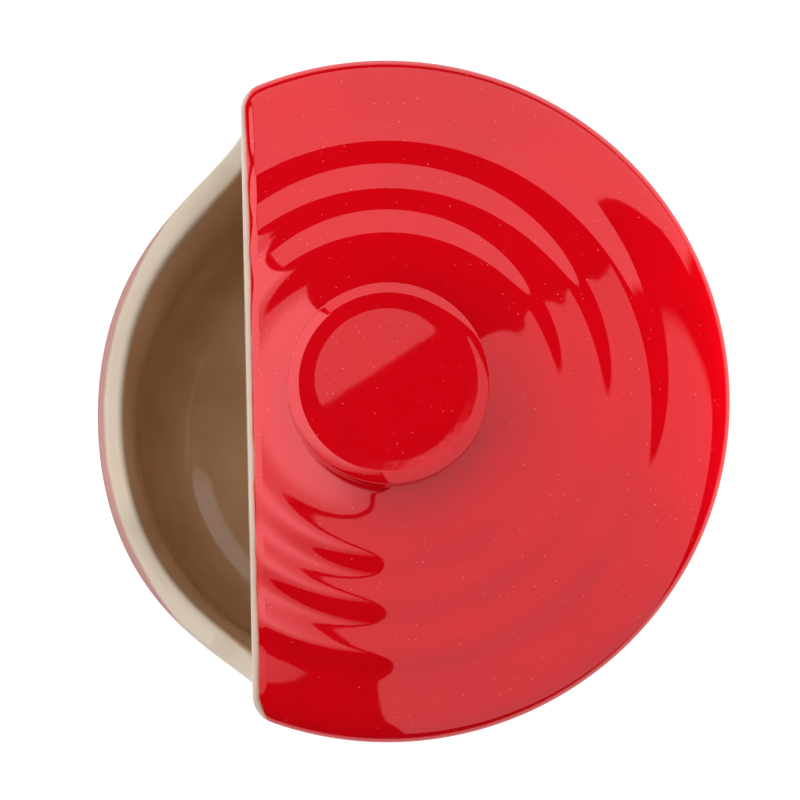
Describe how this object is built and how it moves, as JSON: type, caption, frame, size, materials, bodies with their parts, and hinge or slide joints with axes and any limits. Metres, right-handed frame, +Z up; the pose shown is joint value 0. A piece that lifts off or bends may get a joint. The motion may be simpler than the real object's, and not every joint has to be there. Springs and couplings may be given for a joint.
{
  "type": "salt crock",
  "caption": "Round stoneware salt crock: a flared bowl with a scooped front lip under a ringed dome lid, cut straight across so a hand reaches in, with a mushroom knob.",
  "frame": {"origin": "on the bowl's axis, on the plane that the foot ring stands on", "axes": "+Z up along the bowl's axis, -Y out of the open front, +X along the lid's straight front edge"},
  "size_m": [0.11, 0.1024, 0.0903],
  "materials": {
    "bowl_glaze": "gloss red glaze outside, sand glaze inside, bare clay on the foot",
    "lid_glaze": "gloss red glaze that breaks to cream along the cut edge",
    "knob_glaze": "gloss red glaze"
  },
  "bodies": {
    "bowl": {"crock_bowl": "bowl_glaze"},
    "lid": {"half_lid": "lid_glaze", "lid_knob": "knob_glaze"}
  },
  "joints": [
    {"name": "lid_lift", "type": "slide", "parent": "bowl", "child": "lid", "axis": [0, 0, 1], "range_m": [0, 0.06]}
  ]
}
